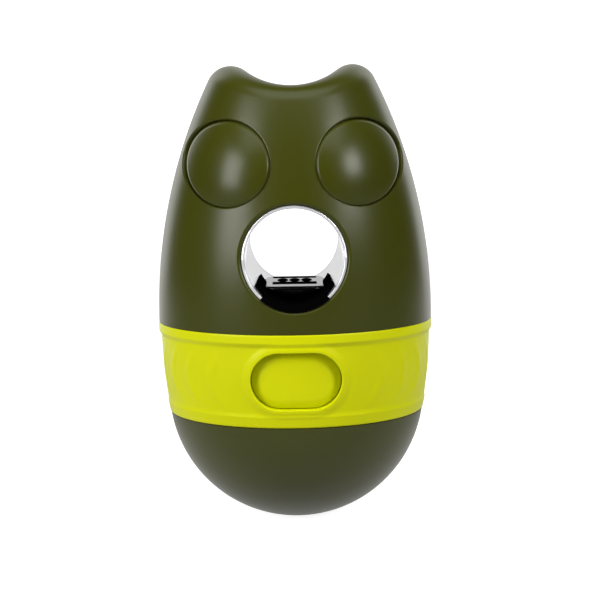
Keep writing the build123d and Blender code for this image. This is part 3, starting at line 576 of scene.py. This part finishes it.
class DISPENSER_OT_shell(bpy.types.Operator):
    """Satin olive plastic on the head, the bowl and the eyes"""

    bl_idname = "dispenser.shell"
    bl_label = "Shell and Eyes"

    def execute(self, context):
        look = context.scene.dispenser_shell
        finish, skin = moulded(
            "olive_plastic", look.colour, spread=0.05, roughness=look.roughness,
            grain=0.004 * MM, waves=0.01 * MM,
        )
        olive = finish.surface(IOR=1.47, Specular_IOR_Level=0.3, **skin)
        give(olive, "head_shell", "bowl_shell")
        for side, name in ((-1, "left"), (1, "right")):
            eye = self.eye(look, side, "domed_eye_" + name)
            eye.data.materials.append(olive)
            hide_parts("eye_" + name)
            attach(eye, "head")
        return {"FINISHED"}

    def eye(self, look, side, name):
        """Domed disc on the egg, a circle when seen from the front.

        A point lies behind (share, turn) of the circle on the egg offset by a lift. On the face the
        lift is proud - (wide cos^2 turn + high sin^2 turn) share^2, rolled down at the rim by a
        quarter circle that is narrower where the egg turns away. On the back it is constant."""
        turn = np.linspace(0, 2 * math.pi, 180, endpoint=False)[None, :]
        rim = 0.15  # share of the radius with finer rows
        inner = np.linspace(0, 1 - rim, 41)[:-1]
        share = np.concatenate([inner, 1 - rim * np.linspace(1, 0, 25) ** 2])[:, None]

        def lifted(share, lift):
            x = look.eye_side + look.eye_radius * share * np.cos(turn)
            z = look.eye_height + look.eye_radius * share * np.sin(turn)
            rise = z - look.flank_start
            radius = np.sqrt((look.flank_radius + lift) ** 2 - rise ** 2) - look.flank_centre
            return np.stack([side * x, -np.sqrt(radius ** 2 - x ** 2), z], axis=-1)

        oblique = 1 + 1.2 * np.clip(np.cos(turn), 0, 1)
        wide, high = look.eye_falls
        face = look.eye_proud - (wide * np.cos(turn) ** 2 + high * np.sin(turn) ** 2) * share ** 2
        rim_reach = (1 - share) * look.eye_radius * oblique
        face = face - look.eye_edge * rounding(rim_reach / look.eye_edge)
        drop = np.linspace(0, 1, 9)[:, None]
        last = face[-1:]
        rows = [
            lifted(share, face),
            lifted(np.ones_like(drop), last + (-look.eye_depth - last) * drop),
            lifted(share[::-1], -look.eye_depth + 0 * share + 0 * turn),
        ]
        return welded(name, [grid(row, True) for row in rows])


def field_radius(look, height):
    """Radius of the band's bowed field: the parabola through its foot, middle and top radii."""
    foot = look.foot + look.rim_heights[0]
    top = look.top - look.rim_heights[1]
    share = np.clip((height - foot) / (top - foot), 0, 1)
    low, middle, high = look.field
    ends = low * (1 - share) * (1 - 2 * share) + high * share * (2 * share - 1)
    return ends + 4 * middle * share * (1 - share)


def band_radius(look, angle, height):
    """Outside of the band: the bowed field, eased up to the two rims, plus the ripples.

    The foot rim's radius grows linearly from its lower edge. A ripple is a soft crescent round its
    angle, at the front and the back of both sides: the square of a cosine across a ridge whose line
    is a parabola, faded out at its ends."""
    foot_rim, foot_edge, top_rim = look.rims
    blend = look.rim_blend
    low = look.foot + look.rim_heights[0]
    high = look.top - look.rim_heights[1]
    base = field_radius(look, height)
    near_foot = ease((low + blend - height) / blend)
    near_top = ease((height - high + blend) / blend)
    share = np.clip((height - look.foot) / (low - look.foot), 0, 1)
    slope = foot_edge + (foot_rim - foot_edge) * share
    base = base + near_foot * (slope - base) + near_top * (top_rim - base)
    side = np.abs((angle + math.pi) % (2 * math.pi) - math.pi)
    side = np.minimum(side, math.pi - side)
    up = (height - look.button_height) / look.ripple_reach
    fade = ease(1.25 * (1 - np.abs(up)) + 0.1) * (np.abs(up) < 1)
    for place in look.ripple_angles:
        offset = base * (side - place) + look.ripple_bow * up * up
        hump = np.cos(np.clip(offset / look.ripple_width, -1, 1) * math.pi / 2) ** 2
        base = base + look.ripple_proud * fade * hump
    return base


def ring_swell(look, beyond):
    """Height over the field at a distance beyond the ring's outer edge.

    It eases up from the skirt's edge and is full from 0.6 of the ring's width inside that edge."""
    return look.ring_proud * ease((look.ring_skirt - beyond) / (look.ring_skirt + 0.6 * look.ring))


class DISPENSER_OT_band(bpy.types.Operator):
    """Soft lime silicone on the band, the button's frame, the button and the gate's grip"""

    bl_idname = "dispenser.band"
    bl_label = "Band and Button"

    def execute(self, context):
        look = context.scene.dispenser_band
        finish, skin = moulded(
            "lime_silicone", look.colour, spread=0.02, roughness=look.roughness,
            grain=0.006 * MM, waves=0.01 * MM,
        )
        lime = finish.surface(IOR=1.41, Specular_IOR_Level=0.17, **skin)
        give(lime, "gate_grip")
        for build, node, body in (
            (self.band, "grip_band", "head"),
            (self.ring, "button_frame", "head"),
            (self.button, "release_button", "button"),
        ):
            piece = build(look)
            piece.data.materials.append(lime)
            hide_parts(node)
            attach(piece, body)
        return {"FINISHED"}

    def band(self, look):
        """Closed sleeve: outside band_radius, inside the collar's cone, with an oval hole in front.

        Round the back the grid runs in angle and height. At the front a patch blends in angle and
        height from the oval's edge to a rectangle whose sides are the grid's own points."""
        side = 0.56  # half angle of the patch
        rows, half = 61, 60  # points up a side of the patch, steps along half of its foot
        back = np.linspace(side, 2 * math.pi - side, 361)
        front = np.linspace(-side, side, 2 * half + 1)
        low = look.foot + look.rim_heights[0]
        high = look.top - look.rim_heights[1]
        rise = np.linspace(low, high, rows)
        half_width = look.opening[0] + look.ring
        half_height = look.opening[1] + look.ring
        loop_angle = np.concatenate([
            front[half:-1], np.full(rows - 1, side),
            front[:0:-1], np.full(rows - 1, -side), front[:half],
        ])
        loop_height = np.concatenate([
            np.full(half, low), rise[:-1], np.full(2 * half, high), rise[:0:-1], np.full(half, low),
        ])
        share = np.arange(len(loop_angle)) / len(loop_angle)
        hole_x, hole_z = oval(share, half_width, half_height)
        hole_z = hole_z + look.button_height

        def inside(height):
            share = (height - look.foot) / (look.top - look.foot)
            return look.inside[0] + share * (look.inside[1] - look.inside[0])

        outer_angle = np.arcsin(hole_x / (field_radius(look, hole_z) + ring_swell(look, 0.0)))
        inner_angle = np.arcsin(hole_x / inside(hole_z))
        mix = np.linspace(0, 1, 40)[:, None] ** 1.5  # finer towards the hole
        patch_angle = outer_angle * (1 - mix) + loop_angle * mix
        lining_angle = inner_angle * (1 - mix) + loop_angle * mix
        patch_height = hole_z * (1 - mix) + loop_height * mix
        around = np.concatenate([front[:-1], back[:-1]])

        def outside(angle, height):
            """Band radius, rolled inwards near the two ends, with the ring's swell in front."""
            edge, roll = 0.5 * MM, 0.25 * MM
            close = np.minimum(height - look.foot, look.top - height) / edge
            radius = band_radius(look, angle, height) - roll * rounding(close)
            across = np.maximum(np.abs(radius * np.sin(angle)) - (half_width - half_height), 0)
            beyond = np.maximum(np.hypot(across, height - look.button_height) - half_height, 0)
            return radius + np.where(np.cos(angle) > 0, ring_swell(look, beyond), 0)

        patch = outside(patch_angle, patch_height)
        sheets = [
            grid(wrapped(outside(back, rise[:, None]), back, rise[:, None]), False),
            grid(wrapped(inside(rise[:, None]) + 0 * back, back, rise[:, None]), False),
            grid(wrapped(patch, patch_angle, patch_height), True),
            grid(wrapped(inside(patch_height), lining_angle, patch_height), True),
        ]
        wall = np.linspace(0, 1, 8)[:, None]
        radius = patch[0] * (1 - wall) + inside(hole_z) * wall
        angle = outer_angle * (1 - wall) + inner_angle * wall
        sheets.append(grid(wrapped(radius, angle, hole_z), True))
        for start, end in ((look.foot, low), (high, look.top)):
            share = np.linspace(0, 1, 21)
            height = (start + (end - start) * (1 - np.cos(math.pi * share)) / 2)[:, None]
            sheets.append(grid(wrapped(outside(around, height), around, height), True))
            height = np.linspace(start, end, 3)[:, None]
            sheets.append(grid(wrapped(inside(height) + 0 * around, around, height), True))
        for height in (look.foot, look.top):
            wall = np.linspace(0, 1, 3)[:, None]
            radius = outside(around, np.full(1, height)) * (1 - wall) + inside(height) * wall
            sheets.append(grid(wrapped(radius, around, np.full((1, 1), height)), True))
        return welded("band", sheets)

    def ring(self, look):
        """Raised oval ring: a closed section carried round the oval.

        The section, in distances out from the opening and up from the field, carries the band's
        swell on to the opening, rounds over there by a quarter circle, and runs down the opening's
        wall and back under the band's edge."""
        width = look.ring
        edge = 0.3 * MM
        crown_out = width * (1 + np.cos(np.linspace(0, math.pi, 25))) / 2
        crown_up = ring_swell(look, crown_out - width) - edge * rounding(crown_out / edge)
        wall = np.array([(0.0, -1.2), (0.0, -3.0), (0.6, -3.0), (0.7, -1.3)]) * MM
        under = np.array([(width, -1.2 * MM), (width, -0.3 * MM)])
        out, up = np.concatenate([np.stack([crown_out, crown_up], axis=-1), wall, under]).T
        share = (np.arange(360) / 360)[None, :]
        x, z = oval(share, look.opening[0] + out[:, None], look.opening[1] + out[:, None])
        z = z + look.button_height
        radius = field_radius(look, z) + up[:, None]
        points = wrapped(radius, np.arcsin(x / radius), z)
        points = np.concatenate([points, points[:1]])
        return welded("oval_ring", [grid(points, True)])

    def button(self, look):
        """Button with two legs, whose ears reach outwards, and a round peg on its flat back.

        Its face is the field moved in by the recess. In a shoulder round its oval edge it falls by
        drop times the 2.2nd power of the share of the shoulder left."""
        gap, shoulder, drop = 0.2 * MM, 3.0 * MM, 0.7 * MM
        share = (np.arange(360) / 360)[None, :]
        inner = np.linspace(shoulder + 0.2 * MM, look.opening[1] - gap, 24)
        inset = np.concatenate([np.linspace(0, shoulder, 31), inner])[:, None]
        x, z = oval(share, look.opening[0] - gap - inset, look.opening[1] - gap - inset)
        z = z + look.button_height
        fall = np.clip(1 - inset / shoulder, 0, 1)
        face = field_radius(look, z) - look.recess - drop * fall ** 2.2
        front = wrapped(face, np.arcsin(x / face), z)
        back_y, ear_y, foot_y, peg_y = look.button_depths
        back = np.stack([x, np.full_like(x, back_y), z], axis=-1)
        edge = np.stack([front[0], back[0]])
        sheets = [grid(front, True), grid(edge, True), grid(back, True)]
        start = back_y - 0.3 * MM  # legs and peg begin inside the button
        square = np.array([(-1, -1), (1, -1), (1, 1), (-1, 1)])
        for sign in (-1, 1):
            leg, ear = (
                (sign * middle, look.button_height) + square * (half_width, half_height)
                for middle, half_width, half_height in (look.leg, look.ear)
            )
            sheets += bar(leg, start, (ear_y + foot_y) / 2) + bar(ear, ear_y, foot_y)
        radius, rise = look.peg
        turn = np.linspace(0, 2 * math.pi, 48, endpoint=False)
        peg_z = look.button_height + rise + radius * np.sin(turn)
        peg = np.stack([radius * np.cos(turn), peg_z], axis=-1)
        return welded("button", sheets + bar(peg, start, peg_y))


class DISPENSER_OT_hole(bpy.types.Operator):
    """Bright lining, gloss black block, matte black gate and tray"""

    bl_idname = "dispenser.hole"
    bl_label = "Hole and Outlet"

    def execute(self, context):
        look = context.scene.dispenser_hole
        give(self.lining(look, context.scene.dispenser_shell), "bore_liner")
        give(self.black_gloss(look), "outlet_block")
        finish, skin = moulded(
            "matte_black", look.block, spread=0.2, roughness=0.6,
            grain=0.01 * MM, waves=0.006 * MM,
        )
        matte = finish.surface(Specular_IOR_Level=0.0, **skin)
        give(matte, "outlet_gate")
        # The black tray is painted reflection of the block on the hole's floor and lip.
        tray = self.tray(look)
        tray.data.materials.append(matte)
        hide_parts("floor_tray")
        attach(tray, "head")
        return {"FINISHED"}

    def lining(self, look, shell):
        """Bright lining with lengthwise streaks, a dark line behind a whiter lip at each end; the
        whiter, less metallic lip is a painted highlight.

        The depth under the egg's flank, an arc about a point beyond the axis, finds the ends."""
        finish = Finish("bright_liner")
        x, y, z = finish.axes()
        streaks = finish.noise(1.1 * MM, detail=3.0, stretch=(1.0, 0.03, 1.0))
        broad = finish.noise(6 * MM, detail=2.0, stretch=(1.0, 0.1, 1.0))
        reach = finish.length(finish.length(x, y) + shell.flank_centre, z - shell.flank_start)
        depth = shell.flank_radius - reach
        line = depth.within(*look.dark_line, 0.3 * MM)
        pattern = (streaks * 0.7 + broad * 0.5).clamped()
        wall = finish.colours(pattern, [0.62 * c for c in look.liner], look.liner)
        return finish.surface(
            Base_Color=finish.colours(line * 0.95, wall, (0.02, 0.02, 0.03)),
            # painted highlight: the lip is less metallic, so it renders whiter than the wall
            Metallic=depth.above(look.painted_highlight_lip, 0.2 * MM) * 0.4 + 0.35,
            Roughness=(streaks - 0.5) * 0.1 + 0.18,
            Normal=finish.bump(streaks, 0.006 * MM),
        )

    def black_gloss(self, look):
        """Gloss black block, matte inside and round its windows and along its dimples; these matte
        patches are painted shade that darkens the openings beyond their modelled size.
        """
        finish, skin = moulded(
            "gloss_black", look.block, spread=0.2, roughness=0.16,
            grain=0.001 * MM, waves=0.006 * MM,
        )
        x, y, z = finish.axes()
        soft = 0.25 * MM
        wide = x.within(-look.window_reach, look.window_reach, soft)
        # painted shade: matte black round each window, wider than its opening
        painted_shade = wide * (y.within(*look.windows[:2], soft) + y.within(*look.windows[2:], soft))
        spacing, depth, half_width = look.dimples
        for place in (-spacing, 0.0, spacing):
            # painted shade: matte black along each dimple
            away = finish.length(x - place, (y - depth) * 0.3)
            painted_shade = painted_shade + 1.0 - away.above(half_width, soft)
        gloss = finish.shader(IOR=1.5, **skin)
        black = (0.001, 0.001, 0.001, 1.0)
        matte = finish.shader(Base_Color=black, Roughness=0.7, Specular_IOR_Level=0.0)
        return finish.ended(finish.value("ShaderNodeMixShader", {}, painted_shade.clamped(), gloss, matte))

    def tray(self, look):
        """Black tray on the hole's floor: an apron in front of the block, a strip on each side
        and a thin flange that covers the lining's lip below. Its black is painted reflection of the
        block in the lining's floor and lip.

        Each slab is swept in angle about the hole's axis and in depth between two edges. The
        apron's front edge follows the egg's circle in the middle and runs back linearly at the
        sides, and the strips' back edges run linearly too."""
        nose, front, middle, tail, back = look.tray_depths
        waist = math.asin(look.tray_waist / look.tray_radius)
        near, far = look.tray_turns
        closing = (far - near) / (back - front)
        inner, outer = look.tray_radius - look.tray_thick, look.tray_radius

        def egg(angle):
            return -np.sqrt(nose ** 2 - (outer * np.sin(angle)) ** 2)

        apron = np.linspace(-near, near, 81)
        side = (np.abs(apron) - waist) / (near - waist)
        ahead = np.where(side > 0, front - 3 * MM * (1 - side), egg(apron))
        slabs = self.slab(look, apron, ahead, middle + 0 * apron, closing, inner, outer)
        strip = np.linspace(waist, near, 25)
        behind = tail + (strip - waist) / (near - waist) * (back - tail)
        split = middle + 0.01 * MM + 0 * strip  # no edge shared with the apron
        for sign in (1, -1):
            slabs += self.slab(look, sign * strip, split, behind, closing, inner, outer)
        # painted reflection: the flange covers the lining's lip below with black
        flange = np.linspace(-waist, waist, 61)
        skin = egg(flange)
        slabs += self.slab(look, flange, skin - look.tray_flange, skin, 0.0, inner, look.lip_radius)
        return welded("tray", slabs)

    def slab(self, look, angle, first, last, closing, inner, outer):
        """Sheets of a closed slab between depths first and last and radii inner and outer.

        Behind the tray's side front, its angles change by the share closing per depth."""
        mix = np.linspace(0, 1, 41)[:, None]
        depth = first * (1 - mix) + last * mix
        front = look.tray_depths[1]

        def place(radius, turn, along):
            radius, turn, along = np.broadcast_arrays(radius, turn, along)
            turn = turn * (1 + closing * np.maximum(along - front, 0) / look.tray_turns[0])
            height = look.hole_height - radius * np.cos(turn)
            return np.stack([radius * np.sin(turn), along, height], axis=-1)

        thick = np.linspace(inner, outer, 4)[:, None]
        sheets = [grid(place(radius, angle, depth), False) for radius in (inner, outer)]
        sheets += [grid(place(thick, angle, edge[None, :]), False) for edge in (first, last)]
        for column in (0, -1):
            sheets.append(grid(place(thick, angle[column], depth[:, column][None, :]), False))
        return sheets


class DISPENSER_OT_inner(bpy.types.Operator):
    """Inner mouldings, seal, weight and screws"""

    bl_idname = "dispenser.inner"
    bl_label = "Inside"

    def execute(self, context):
        look = context.scene.dispenser_inner
        finish, skin = moulded(
            "inner_grey", look.grey, spread=0.06, roughness=0.5,
            grain=0.01 * MM, waves=0.01 * MM,
        )
        give(finish.surface(**skin), "treat_funnel", "neck_ring", "catch_tongue", "ballast_cover")
        finish, skin = moulded(
            "seal_rubber", [0.1 * c for c in look.grey], spread=0.1, roughness=0.6,
            grain=0.01 * MM, waves=0.01 * MM,
        )
        give(finish.surface(**skin), "neck_seal")
        finish = Finish("plain_steel")
        streaks = finish.noise(0.4 * MM, detail=3.0)
        give(
            finish.surface(
                Base_Color=finish.colours(streaks, [0.8 * c for c in look.steel], look.steel),
                Metallic=1.0,
                Roughness=(streaks - 0.5) * 0.15 + 0.32,
                Normal=finish.bump(streaks, 0.006 * MM),
            ),
            "ballast", "ballast_screws", "block_screws", "funnel_screws", "tongue_screws",
            "eye_clips",
        )
        return {"FINISHED"}


class DISPENSER_OT_stage(bpy.types.Operator):
    """Pale floor and backdrop, soft lamps and the camera at the photograph's angle"""

    bl_idname = "dispenser.stage"
    bl_label = "Stage"

    def execute(self, context):
        look = context.scene.dispenser_stage
        self.camera(context, look)
        self.world(context, look)
        self.paper(context)
        left, right, top = look.lamps
        for name, power, place, size in (  # places and sizes in metres
            ("lamp_left", left, (-0.79, -0.55, 0.47), (0.46, 0.62)),
            ("lamp_right", right, (0.83, -0.58, 0.62), (0.42, 0.42)),
            ("lamp_top", top, (0.0, -0.25, 0.85), (0.90, 0.60)),
        ):
            self.lamp(context, name, power, place, size)
        context.scene.view_settings.view_transform = "Standard"
        return {"FINISHED"}

    def camera(self, context, look):
        """Camera at the photograph's angle, rolled about its line of sight."""
        away = Vector((0, -math.cos(look.elevation), math.sin(look.elevation)))
        right = Vector((1, 0, 0))
        upward = away.cross(right)
        across = right * math.cos(look.roll) + upward * math.sin(look.roll)
        along = upward * math.cos(look.roll) - right * math.sin(look.roll)
        eye = Vector((0, 0, look.aim_height)) + away * look.distance
        data = bpy.data.cameras.new("camera")
        data.sensor_width = 36
        data.lens = look.lens
        data.shift_x, data.shift_y = look.shift
        data.clip_start = 0.01
        data.clip_end = 20
        camera = bpy.data.objects.new("camera", data)
        turn = Matrix((across, along, away)).transposed().to_4x4()
        camera.matrix_world = Matrix.Translation(eye) @ turn
        context.scene.collection.objects.link(camera)
        context.scene.camera = camera

    def lamp(self, context, name, power, place, size):
        """Soft rectangular lamp that faces the egg's middle."""
        data = bpy.data.lights.new(name, "AREA")
        data.shape = "RECTANGLE"
        data.size, data.size_y = size
        data.energy = power
        lamp = bpy.data.objects.new(name, data)
        lamp.location = place
        aim = Vector((0, 0, 70 * MM)) - Vector(place)
        lamp.rotation_mode = "QUATERNION"
        lamp.rotation_quaternion = aim.to_track_quat("-Z", "Y")
        context.scene.collection.objects.link(lamp)

    def world(self, context, look):
        """White for the camera and dim for all other rays."""
        world = bpy.data.worlds.new("studio")
        context.scene.world = world
        world.use_nodes = True
        nodes = Nodes(world.node_tree)
        dim, white = (
            nodes.value("ShaderNodeBackground", {}, {"Color": (1, 1, 1, 1), "Strength": strength})
            for strength in (look.world_glow, 1.0)
        )
        shown = nodes.value("ShaderNodeMixShader", {}, nodes.ray("Camera"), dim, white)
        nodes.node("ShaderNodeOutputWorld", {}, [shown])

    def paper(self, context):
        """Floor and backdrop of pale paper, which also glows for camera and mirrored rays.

        Mirrored rays see a glow that fades from near to far with the distance from the egg's axis,
        and one more behind the egg."""
        wall = 0.9
        # glow for the camera, glow in mirrored rays, start and width of its fade in metres
        for name, corners, plain, (near, far, behind), fading in (
            (
                "floor", [(-3, -3, 0), (3, -3, 0), (3, wall, 0), (-3, wall, 0)],
                0.92, (0.55, 0.02, 1.1), (0.08, 0.12),
            ),
            (
                "backdrop", [(-0.9, wall, 0), (0.9, wall, 0), (0.9, wall, 1.2), (-0.9, wall, 1.2)],
                1.0, (0.62, 1.55, 0.0), (0.92, 0.13),
            ),
        ):
            finish = Finish(name)
            x, y, z = finish.axes()
            shine = near + finish.length(x, y).above(*fading) * (far - near)
            shine = shine + y.above(0.1, 0.3) * x.within(-0.8, 0.8, 0.3) * behind
            seen = finish.ray("Camera") * plain + finish.ray("Glossy") * shine
            matte = finish.value("ShaderNodeBsdfDiffuse", {}, {"Color": (0.4, 0.4, 0.4, 1)})
            glow = finish.value("ShaderNodeEmission", {}, {"Color": (1, 1, 1, 1), "Strength": seen})
            both = finish.value("ShaderNodeAddShader", {}, matte, glow)
            mesh = bpy.data.meshes.new(name)
            mesh.from_pydata(corners, [], [(0, 1, 2, 3)])
            mesh.materials.append(finish.ended(both))
            sheet = bpy.data.objects.new(name, mesh)
            context.scene.collection.objects.link(sheet)


OPERATORS = (
    DISPENSER_OT_shell,
    DISPENSER_OT_band,
    DISPENSER_OT_hole,
    DISPENSER_OT_inner,
    DISPENSER_OT_stage,
)


class DISPENSER_PT_panel(bpy.types.Panel):
    """Sidebar panel with the dispenser's settings and steps"""

    bl_idname = "DISPENSER_PT_panel"
    bl_label = "Dog Treat Dispenser"
    bl_space_type = "VIEW_3D"
    bl_region_type = "UI"
    bl_category = "Dispenser"

    def draw(self, context):
        for name, group in SETTINGS.items():
            box = self.layout.box()
            box.label(text=group.__doc__.strip("."))
            for field in group.__annotations__:
                box.prop(getattr(context.scene, name), field)
        for operator in OPERATORS:
            self.layout.operator(operator.bl_idname)


CLASSES = (*SETTINGS.values(), *OPERATORS, DISPENSER_PT_panel)


def register():
    for item in CLASSES:
        bpy.utils.register_class(item)
    for name, group in SETTINGS.items():
        setattr(bpy.types.Scene, name, bpy.props.PointerProperty(type=group))


def unregister():
    for name in SETTINGS:
        delattr(bpy.types.Scene, name)
    for item in reversed(CLASSES):
        bpy.utils.unregister_class(item)


def main():
    """Registers the add-on and makes every piece and the stage."""
    register()
    bpy.ops.dispenser.shell()
    bpy.ops.dispenser.band()
    bpy.ops.dispenser.hole()
    bpy.ops.dispenser.inner()
    bpy.ops.dispenser.stage()


if __name__ == "__main__":
    main()
